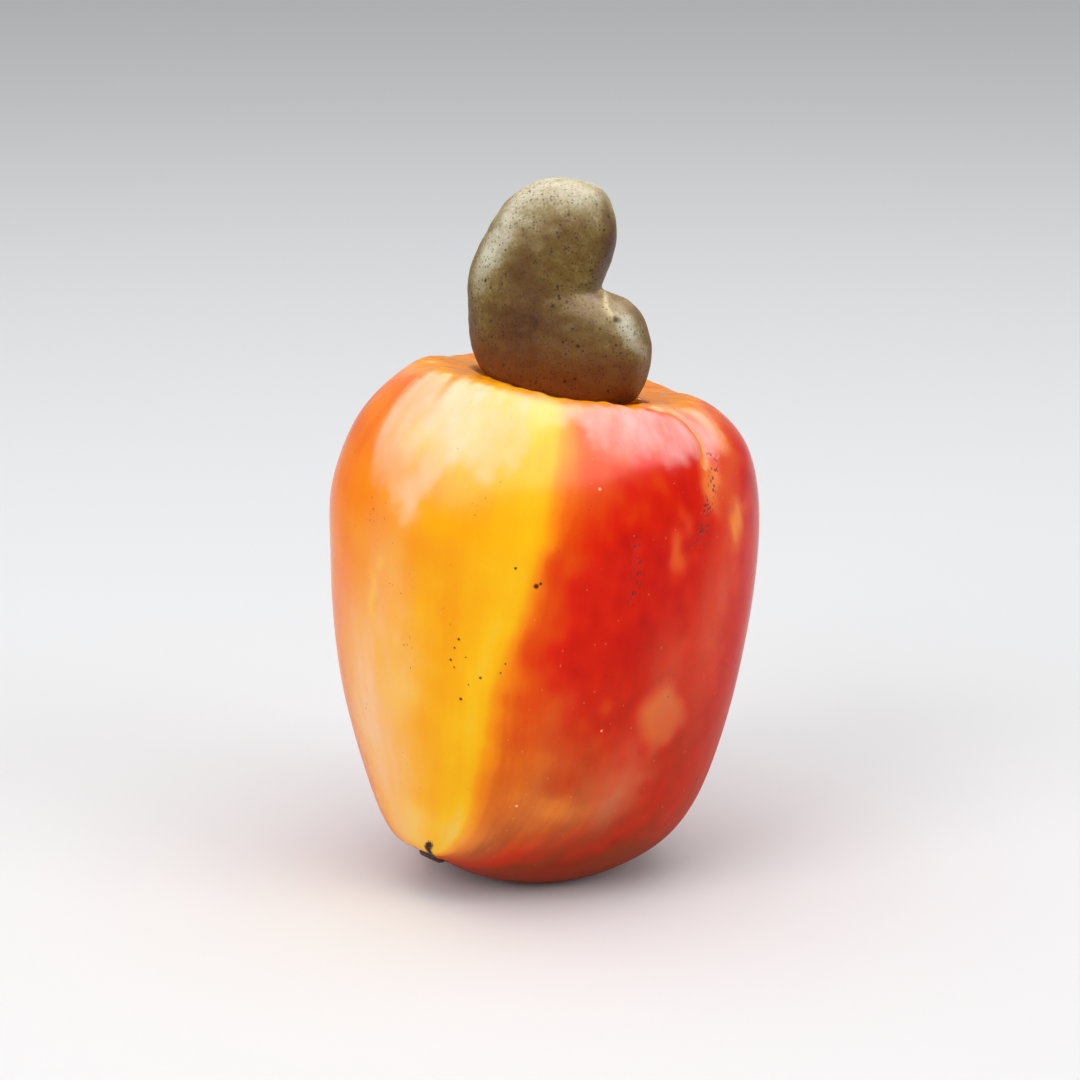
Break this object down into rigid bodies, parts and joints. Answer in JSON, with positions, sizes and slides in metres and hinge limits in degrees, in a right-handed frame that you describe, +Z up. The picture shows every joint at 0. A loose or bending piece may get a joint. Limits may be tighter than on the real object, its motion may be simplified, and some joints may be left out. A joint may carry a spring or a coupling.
{
  "type": "cashew apple with its nut",
  "caption": "Whole cashew fruit as picked: a pear-shaped juicy apple with its kidney-shaped nut in shell on top, standing on its rounded stalk end.",
  "frame": {"origin": "on the surface the fruit stands on, under the middle of its box", "axes": "+Z up, from the rounded stalk end to the nut; -Y is the front, where the stalk scar shows at the lower left and the notch of the nut is on the right"},
  "size_m": [0.0614, 0.0615, 0.1005],
  "materials": {
    "apple_skin": "thin waxy fruit skin, smooth and softly glossy, yellow to orange on one side and red on the other",
    "nut_shell": "hard leathery grey-brown nut shell with fine dark specks and a low sheen",
    "stalk_wood": "dry dark brown stalk, rough and matt"
  },
  "bodies": {
    "root": {"cashew_apple": "apple_skin", "cashew_nut": "nut_shell", "stalk_stub": "stalk_wood"}
  },
  "joints": []
}
